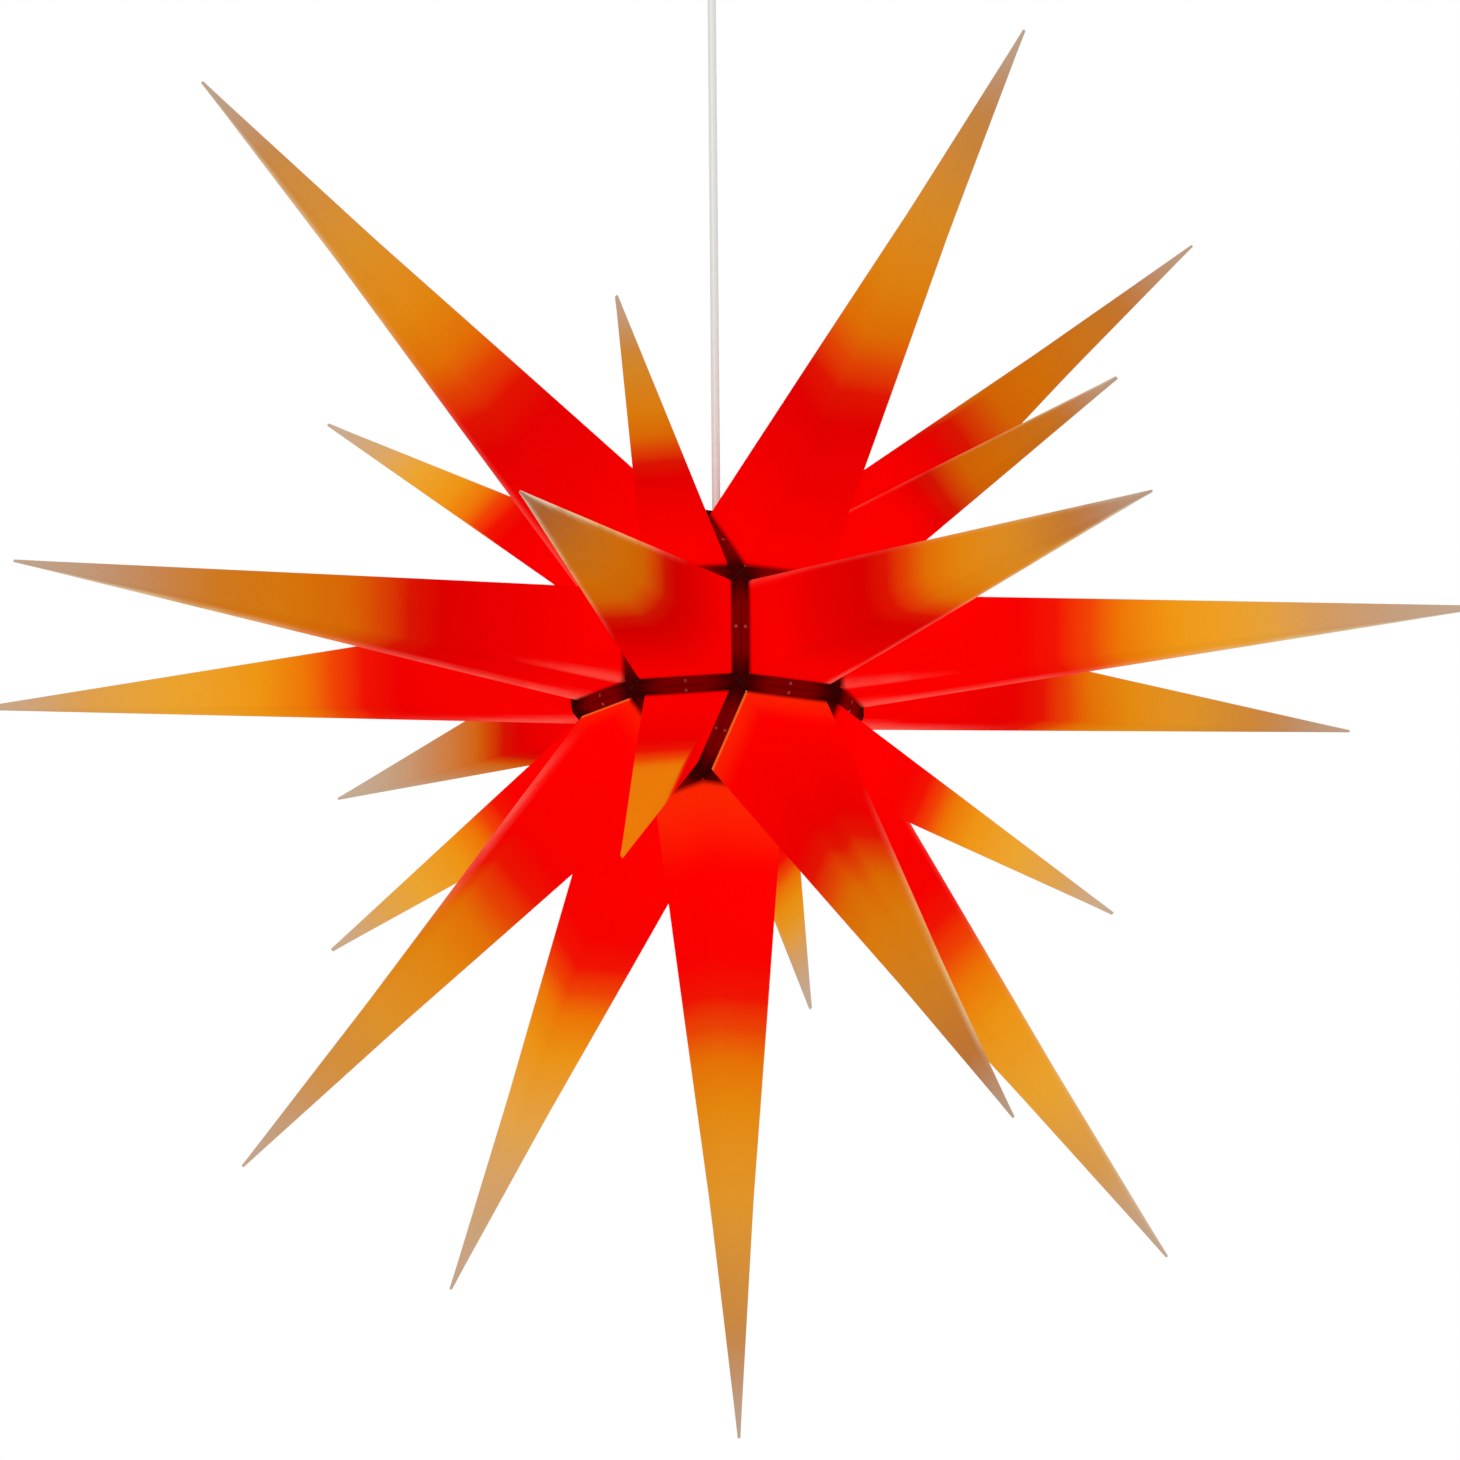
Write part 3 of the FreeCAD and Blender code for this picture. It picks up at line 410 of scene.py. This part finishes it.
# Looks of the CAD nodes that stay, by material slot: two close display colours, the scale of the
# grain that mixes them, the roughness and how far it varies with the grain
FITTINGS = {
    # The collar card's near-black red is painted shade: the card blocks the lamp's light
    "collar_card": dict(colours=((58, 3, 2), (44, 2, 2)), grain=500, roughness=0.85, varies=0.1,
                        specular=0.1),
    # The clips' pink-red is painted light: the red glow of the paper around them on the metal, in
    # place of brass's own yellow
    "clip_brass": dict(colours=((176, 84, 82), (138, 56, 54)), grain=900, roughness=0.6,
                       varies=0.1, specular=0.2),
    "hanger_steel": dict(colours=((176, 176, 178), (150, 150, 153)), grain=300, roughness=0.35,
                         varies=0.15, metallic=1.0, squeeze=BRUSHED),
    "lampholder_plastic": dict(colours=((236, 235, 231), (228, 227, 222)), grain=250,
                               roughness=0.42, varies=0.1),
    "contact_brass": dict(colours=((206, 168, 96), (184, 146, 78)), grain=400, roughness=0.32,
                          varies=0.12, metallic=1.0),
    "white_plastic": dict(colours=((238, 238, 236), (229, 229, 227)), grain=300, roughness=0.4,
                          varies=0.1),
    "bulb_cap_metal": dict(colours=((196, 197, 200), (170, 171, 175)), grain=300, roughness=0.3,
                           varies=0.15, metallic=1.0),
    "bulb_housing_plastic": dict(colours=((242, 241, 238), (234, 233, 229)), grain=200,
                                 roughness=0.5, varies=0.1),
    "canopy_plastic": dict(colours=((238, 238, 236), (231, 231, 228)), grain=120, roughness=0.3,
                           varies=0.08),
    "bracket_steel": dict(colours=((196, 198, 202), (172, 175, 180)), grain=90, roughness=0.42,
                          varies=0.2, metallic=0.9),
    "screw_steel": dict(colours=((206, 207, 210), (180, 181, 185)), grain=260, roughness=0.3,
                        varies=0.12, metallic=1.0),
    "block_plastic": dict(colours=((226, 224, 214), (214, 212, 201)), grain=200, roughness=0.5,
                          varies=0.1),
    "lead_insulation": dict(colours=((52, 92, 168), (42, 78, 150)), grain=300, roughness=0.4,
                            varies=0.1),
    # The cord sheath's faint green tint offsets the pink light of the glowing star falling on it
    "cord_sheath": dict(colours=((216, 219, 214), (206, 209, 204)), grain=420, roughness=0.45,
                        varies=0.12),
}
FLOOR_LOOK = dict(colours=((244, 244, 243), (240, 240, 239)), grain=3, roughness=0.9, varies=0.05,
                  specular=0.2, depth=0.0001)


def speckled(name, colours, grain, roughness, varies, metallic=0.0, specular=0.5, depth=0.0002,
             squeeze=None):
    """Two close colours mixed by noise, with roughness and fine bump from the same noise."""
    paint = Paint(name)
    level = paint.noise(grain, detail=4.0, roughness=0.6, squeeze=squeeze)
    first, second = colours
    paint.surface(paint.mix(level, srgb(*first), srgb(*second)),
                  paint.between(level, roughness - varies / 2, roughness + varies / 2),
                  metallic, specular)
    paint.bump(level, strength=0.2, depth=depth)
    return paint.material


def globe_material():
    """The opal globe of the lamp, glowing warm."""
    paint = Paint("bulb_globe_opal")
    cloud = paint.noise(scale=60.0, detail=2.0)
    colour = paint.mix(cloud, srgb(255, 246, 226), srgb(255, 238, 208))
    paint.glowing(colour, GLOBE_GLOW, roughness=0.25)
    return paint.material


def fitting_materials():
    """Materials for the CAD nodes that stay, by material slot."""
    materials = {slot: speckled(slot, **look) for slot, look in FITTINGS.items()}
    materials["bulb_globe_opal"] = globe_material()
    return materials


# -------------------------------------------------------------------- paper points

def direction(column, elevation):
    """The unit vector at a column of the star and an elevation; column 0 is the front."""
    turn = math.radians(column * COLUMN_STEP)
    rise = math.radians(elevation)
    return Vector((math.sin(turn) * math.cos(rise), -math.cos(turn) * math.cos(rise),
                   math.sin(rise)))


def body_corners():
    """The 24 corners of the body, a rhombicuboctahedron, about its centre."""
    near = FACE_SIDE / 2
    far = near * (1 + math.sqrt(2))
    signs = (-1, 1)
    return [Vector((a * x, b * y, c * z))
            for x, y, z in ((near, near, far), (near, far, near), (far, near, near))
            for a in signs for b in signs for c in signs]


def view_directions():
    """Directions in space that lie to each side of the picture, and towards the camera."""
    back = CAMERA_BACK.normalized()
    right = Vector((0, 0, 1)).cross(back).normalized()
    up = back.cross(right)
    return {"right": right, "left": -right, "up": up, "down": -up, "near": back}


VIEW = view_directions()


def farthest(places, middle, side):
    """The index of the place that lies farthest from a middle towards a side of the picture."""
    reaches = [(place - middle).normalized().dot(VIEW[side]) for place in places]
    return reaches.index(max(reaches))


def round_pairs(items):
    """Each item with the next one, round a ring."""
    return zip(items, items[1:] + items[:1])


def soft_step(value, low, high):
    """From 0 to 1, softly, while a value runs from low to high."""
    share = min(1.0, max(0.0, (value - low) / (high - low)))
    return share * share * (3 - 2 * share)


class StarPoint:
    """One face of the body and the paper point on it."""

    def __init__(self, name, family, column, elevation):
        self.name = name
        self.family = family
        self.normal = direction(column, elevation)
        self.distance = max(corner.dot(self.normal) for corner in body_corners())
        self.middle = self.normal * self.distance
        own = [corner for corner in body_corners()
               if corner.dot(self.normal) > self.distance - SAME_FACE]
        first = (own[0] - self.middle).normalized()
        second = self.normal.cross(first)
        own.sort(key=lambda corner: math.atan2((corner - self.middle).dot(second),
                                               (corner - self.middle).dot(first)))
        self.corners = own
        is_square = len(own) == 4
        reach = SQUARE_REACH if is_square else TRIANGLE_REACH
        axis = direction(column, elevation + LEAN[family])
        drift = Vector(TIP_DRIFT.get(name, (0, 0, 0)))
        self.tip = self.middle + axis * (reach - self.distance) + drift
        self.apothem = ((own[0] + own[1]) * 0.5 - self.middle).length
        self.foot = self.apothem - (SQUARE_FLANGE if is_square else TRIANGLE_FLANGE)

    def half_width(self, share):
        """Half the point's width across the flats at a share of its height."""
        tip = TIP_WIDTH / 2
        waist = (self.foot + (tip - self.foot) * WAIST_AT) * WAIST[self.family]
        if share < WAIST_AT:
            return self.foot + (waist - self.foot) * share / WAIST_AT
        return waist + (tip - waist) * (share - WAIST_AT) / (1 - WAIST_AT)

    def section(self, middle, half_width):
        """The corners of a section of the point, as wide as given, about a middle."""
        size = half_width / self.apothem
        return [STAR_CENTRE + middle + (corner - self.middle) * size for corner in self.corners]

    def ring(self, share):
        """The corners of the point's section at a share of its height."""
        return self.section(self.middle + (self.tip - self.middle) * share,
                            self.half_width(share))


def star_points():
    """The 25 points, column by column, and last the one straight down."""
    points = []
    for column, side in enumerate(COLUMNS):
        points.append(StarPoint("point_ring_" + side, "ring", column, 0))
        for row, sign in (("upper", 1), ("lower", -1)):
            is_square = column % 2 == 0
            elevation = SQUARE_ELEVATION if is_square else TRIANGLE_ELEVATION
            family = row + ("_square" if is_square else "_triangle")
            points.append(StarPoint("point_%s_%s" % (row, side), family, column, sign * elevation))
    points.append(StarPoint("point_bottom", "bottom", 0, STRAIGHT_DOWN))
    return points


class Look:
    """How one point is sprayed, lit and highlit at its folds, as attributes of its vertices."""

    def __init__(self, point):
        self.point = point
        self.reach = (point.tip - point.middle).length * MM
        self.drift = SPRAY_DRIFT.get(point.name, USUAL_DRIFT)
        self.creep = SPRAY_CREEP.get(point.name, 0.0)
        self.creep_fold = farthest(point.corners, point.middle, "near")
        self.orange_to = STAYS_ORANGE.get(point.name, 1.0)
        self.brightness = BRIGHTNESS.get(point.name, USUAL_BRIGHTNESS)
        self.fade_start, self.fade = FADES.get(point.name, USUAL_FADE)
        self.warm, self.warm_reach = WARM_FEET.get(point.name, NOT_WARM)
        self.leaking = self.leaking_side()

    def leaking_side(self):
        """The side of the point whose foot lets light through, or none."""
        edge = LEAKING_EDGES.get(self.point.name)
        if edge is None:
            return None
        middles = [(start + end) * 0.5 for start, end in round_pairs(self.point.corners)]
        return farthest(middles, self.point.middle, edge)

    def tone(self, share):
        """How bright the point is at a share of its height."""
        foot, middle, tip = self.brightness
        return (foot + (middle - foot) * soft_step(share, *FOOT_TO_MIDDLE)
                + (tip - middle) * soft_step(share, *MIDDLE_TO_TIP))

    def all_round(self, share):
        """The attributes that don't change round the point at a share of its height."""
        lift = share * self.reach
        return {"tone": self.tone(share), "lift": lift,
                "warm": self.warm * (1 - soft_step(lift, 0, self.warm_reach)),
                "tip_grey": self.fade * soft_step(share, self.fade_start, FADE_END)}

    def height(self, share, distances):
        """The place among the colours, given the shares of a side to each of its two folds."""
        beside = distances.get(self.creep_fold, 1.0)
        creep = self.creep * (1 - soft_step(beside, 0, CREEP_SPREAD))
        return min(share, self.orange_to) - self.drift - creep

    def folds(self, share):
        """How pale each fold's painted highlight is at a share of the height, and its strip's
        width.
        """
        point = self.point
        folds = [(0.0, 1.0)] * len(point.corners)
        begin = HIGHLIGHT_FROM.get(point.name, FROM_THE_FOOT)
        ends = HIGHLIGHT_TO.get(point.name, TO_THE_TIP)
        spread = 1 + (LINE_SPREAD - 1) * max(0.0, 1 - share / LINE_FOOT_END)
        for side, (strength, width) in HIGHLIT_FOLDS.get(point.name, {}).items():
            strength *= soft_step(share, begin - HIGHLIGHT_SOFTNESS, begin + HIGHLIGHT_SOFTNESS)
            strength *= 1 - soft_step(share, *(NEAR_FOLD_TO if side == "near" else ends))
            folds[farthest(point.corners, point.middle, side)] = (strength, width * spread)
        return folds


def highlight_at(fold, distance, length):
    """Paleness of a fold's painted highlight at a distance from it, on a side as long as given."""
    strength, width = fold
    return strength * (1 - soft_step(distance / length, 0, min(width / length, LINE_SHARE)))


def fold_half_width(share, half_width):
    """Half the width of a fold's rounding: it spreads towards the foot."""
    spread = max(0.0, 1 - share / FOLD_SPREAD_TO)
    widening = (FOLD_FOOT_WIDTH - FOLD_HALF_WIDTH) * spread ** FOLD_SPREAD_CURVE
    return min(FOLD_HALF_WIDTH + widening, FOLD_SHARE * half_width)


class Sheet:
    """Vertices with their attributes, and faces with their material, for one paper piece.

    height is the place among the colours, lift the millimetres up from the foot, tone the
    brightness, and corner and seam a tab's millimetres from its end and from the seam.
    """

    NAMES = ("height", "lift", "tone", "tip_grey", "rubbed", "warm", "leak", "corner", "seam")

    def __init__(self):
        self.places = []
        self.values = {name: [] for name in self.NAMES}
        self.faces = []
        self.slots = []

    def vertex(self, place, **values):
        self.places.append(place)
        for name in self.NAMES:
            self.values[name].append(values.get(name, 0.0))
        return len(self.places) - 1

    def face(self, corners, slot):
        self.faces.append(corners)
        self.slots.append(slot)

    def strip(self, lower, upper, slot, flip=False):
        """Faces between two rows of vertices; flip turns them over."""
        for low, next_low, high, next_high in zip(lower, lower[1:], upper, upper[1:]):
            if flip:
                self.face((low, high, next_high, next_low), slot)
            else:
                self.face((low, next_low, next_high, high), slot)

    def make(self, name, materials):
        mesh = bpy.data.meshes.new(name)
        mesh.from_pydata(self.places, [], self.faces)
        for key, values in self.values.items():
            mesh.attributes.new(key, "FLOAT", "POINT").data.foreach_set("value", values)
        for material in materials:
            mesh.materials.append(material)
        mesh.polygons.foreach_set("material_index", self.slots)
        mesh.update()
        return add_object(name, mesh)


def add_cone(sheet, point):
    """The folded sides of a point, with softly rounded folds."""
    look = Look(point)
    rows = []
    for step in range(ROWS + 1):
        share = (step / ROWS) ** ROW_CROWDING
        ring = point.ring(share)
        width = fold_half_width(share, point.half_width(share))
        folds = look.folds(share)
        all_round = look.all_round(share)
        row = []
        for side, start in enumerate(ring):
            following = (side + 1) % len(ring)
            along = ring[following] - start
            length = along.length
            inset = width / length
            leak = 1.0 if side == look.leaking else 0.0
            for place in SIDE_COLUMNS:
                spot = inset + (1 - 2 * inset) * place
                height = look.height(share, {side: spot, following: 1 - spot})
                rubbed = max(highlight_at(folds[side], spot * length, length),
                             highlight_at(folds[following], (1 - spot) * length, length))
                row.append(sheet.vertex(start + along * spot, height=height, rubbed=rubbed,
                                        leak=leak, **all_round))
        rows.append(row)
    for lower, upper in zip(rows, rows[1:]):
        sheet.strip(lower + lower[:1], upper + upper[:1], SIDES)
    sheet.face(rows[-1], SIDES)


def add_tabs(sheet, point):
    """The foot folded out in tabs over the card collar, parted at the corners."""
    inner = point.ring(0)
    outer = point.section(point.middle, point.apothem - SEAM_GAP)
    flange = point.apothem - SEAM_GAP - point.foot
    for (inner_start, outer_start), (inner_end, outer_end) in round_pairs(list(zip(inner, outer))):
        inset = (outer_end - outer_start).normalized() * TAB_INSET
        rows = []
        for depth in TAB_ROWS:
            start = inner_start.lerp(outer_start, depth) + inset
            end = inner_end.lerp(outer_end, depth) - inset
            length = (end - start).length
            seam = flange * (1 - depth) * MM
            row = []
            for place in TAB_COLUMNS:
                corner = min(place, 1 - place) * length * MM
                row.append(sheet.vertex(start.lerp(end, place), corner=corner, seam=seam))
            rows.append(row)
        for lower, upper in zip(rows, rows[1:]):
            sheet.strip(lower, upper, TABS, flip=True)


def make_points(materials):
    """The paper of the 25 points, in place of their nodes."""
    for point in star_points():
        sheet = Sheet()
        add_cone(sheet, point)
        add_tabs(sheet, point)
        piece = sheet.make("paper_" + point.name, materials)
        thickness = piece.modifiers.new("paper", "SOLIDIFY")
        thickness.thickness = PAPER
        thickness.offset = -1
        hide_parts(point.name)
        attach(piece, "star")


# ------------------------------------------------------------------- cord, fittings

def make_cord(material):
    """The round white cord, taut between the sleeve and the lampholder."""
    curve = bpy.data.curves.new("hanging_cord", "CURVE")
    curve.dimensions = "3D"
    curve.bevel_depth = CORD_DIAMETER / 2
    curve.bevel_resolution = CORD_ROUNDING
    curve.resolution_u = CORD_STEPS
    curve.use_fill_caps = True
    near = Vector((0, 0, CORD_NEAR_END))
    places = (CORD_TOP, CORD_TOP - near, CORD_BOTTOM + near, CORD_BOTTOM)
    spline = curve.splines.new("NURBS")
    spline.points.add(len(places) - 1)
    for control, place in zip(spline.points, places):
        control.co = (*place, 1)
    spline.order_u = 3
    spline.use_endpoint_u = True
    curve.materials.append(material)
    cord = add_object("hanging_cord", curve)
    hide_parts("pendant_cord")
    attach(cord, "cord")


def dress_nodes(frame, materials):
    """Gives each CAD node that stays the material of its slot."""
    slots = {entry["node"]: entry["material_slot"] for entry in frame["record"]["subparts"]}
    for name, node in frame["nodes"].items():
        if slots[name] in materials:
            node.data.materials.clear()
            node.data.materials.append(materials[slots[name]])


# ------------------------------------------------------------- camera, light, floor

def make_camera():
    """The camera, where the photograph was taken from."""
    camera = add_object("camera", bpy.data.cameras.new("camera"))
    back = VIEW["near"]
    turned_right = VIEW["right"] * math.cos(CAMERA_ROLL) + VIEW["up"] * math.sin(CAMERA_ROLL)
    turned_up = back.cross(turned_right)
    place = STAR_CENTRE + back * CAMERA_DISTANCE
    axes = Matrix((turned_right, turned_up, back)).transposed().to_4x4()
    camera.matrix_world = Matrix.Translation(place) @ axes
    camera.data.lens = CAMERA_LENS
    camera.data.sensor_width = CAMERA_SENSOR
    camera.data.shift_x, camera.data.shift_y = CAMERA_SHIFT
    camera.data.clip_start, camera.data.clip_end = CAMERA_CLIP
    bpy.context.scene.camera = camera


def area_lamp(name, place, size, power):
    """A round lamp that shines on the star."""
    data = bpy.data.lights.new(name, "AREA")
    data.shape = "DISK"
    data.size = size
    data.energy = power
    lamp = add_object(name, data)
    lamp.location = place
    lamp.rotation_euler = (Vector(place) - STAR_CENTRE).to_track_quat("Z", "Y").to_euler()


def make_world():
    """Soft white light from all round; the camera, reflections and clear pieces see plain white."""
    world = bpy.data.worlds.new("studio")
    bpy.context.scene.world = world
    graph = Graph(world)
    graph.tree.nodes.clear()
    rays = graph.add("ShaderNodeLightPath").outputs
    passed_on = graph.math("MAXIMUM", rays["Is Glossy Ray"], rays["Is Transmission Ray"])
    seen = graph.math("MAXIMUM", rays["Is Camera Ray"], passed_on)
    light = graph.add("ShaderNodeBackground", {"Color": WHITE, "Strength": ROOM_LIGHT})
    white = graph.add("ShaderNodeBackground", {"Color": WHITE})
    mix = graph.add("ShaderNodeMixShader", {0: seen, 1: light.outputs[0], 2: white.outputs[0]})
    graph.add("ShaderNodeOutputWorld", {"Surface": mix.outputs[0]})


def make_floor():
    """A plain pale floor, well below the star."""
    corners = [(across * FLOOR_HALF, along * FLOOR_HALF, FLOOR_Z)
               for across, along in ((-1, -1), (1, -1), (1, 1), (-1, 1))]
    mesh = bpy.data.meshes.new("floor")
    mesh.from_pydata(corners, [], [(0, 1, 2, 3)])
    mesh.materials.append(speckled("floor_plaster", **FLOOR_LOOK))
    floor = add_object("floor", mesh)


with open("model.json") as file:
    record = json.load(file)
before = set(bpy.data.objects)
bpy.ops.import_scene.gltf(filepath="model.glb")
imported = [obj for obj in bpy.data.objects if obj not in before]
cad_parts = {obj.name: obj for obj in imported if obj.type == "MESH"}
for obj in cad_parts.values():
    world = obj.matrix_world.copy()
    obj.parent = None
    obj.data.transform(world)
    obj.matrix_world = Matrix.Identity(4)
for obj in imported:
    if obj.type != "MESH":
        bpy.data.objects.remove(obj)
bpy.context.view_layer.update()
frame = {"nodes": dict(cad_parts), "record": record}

make_camera()
materials = fitting_materials()
make_cord(materials["cord_sheath"])
make_points([paper_material(), tab_material()])
dress_nodes(frame, materials)
make_world()
for lamp in LAMPS:
    area_lamp(*lamp)
make_floor()

bpy.context.scene.view_settings.view_transform = "Standard"
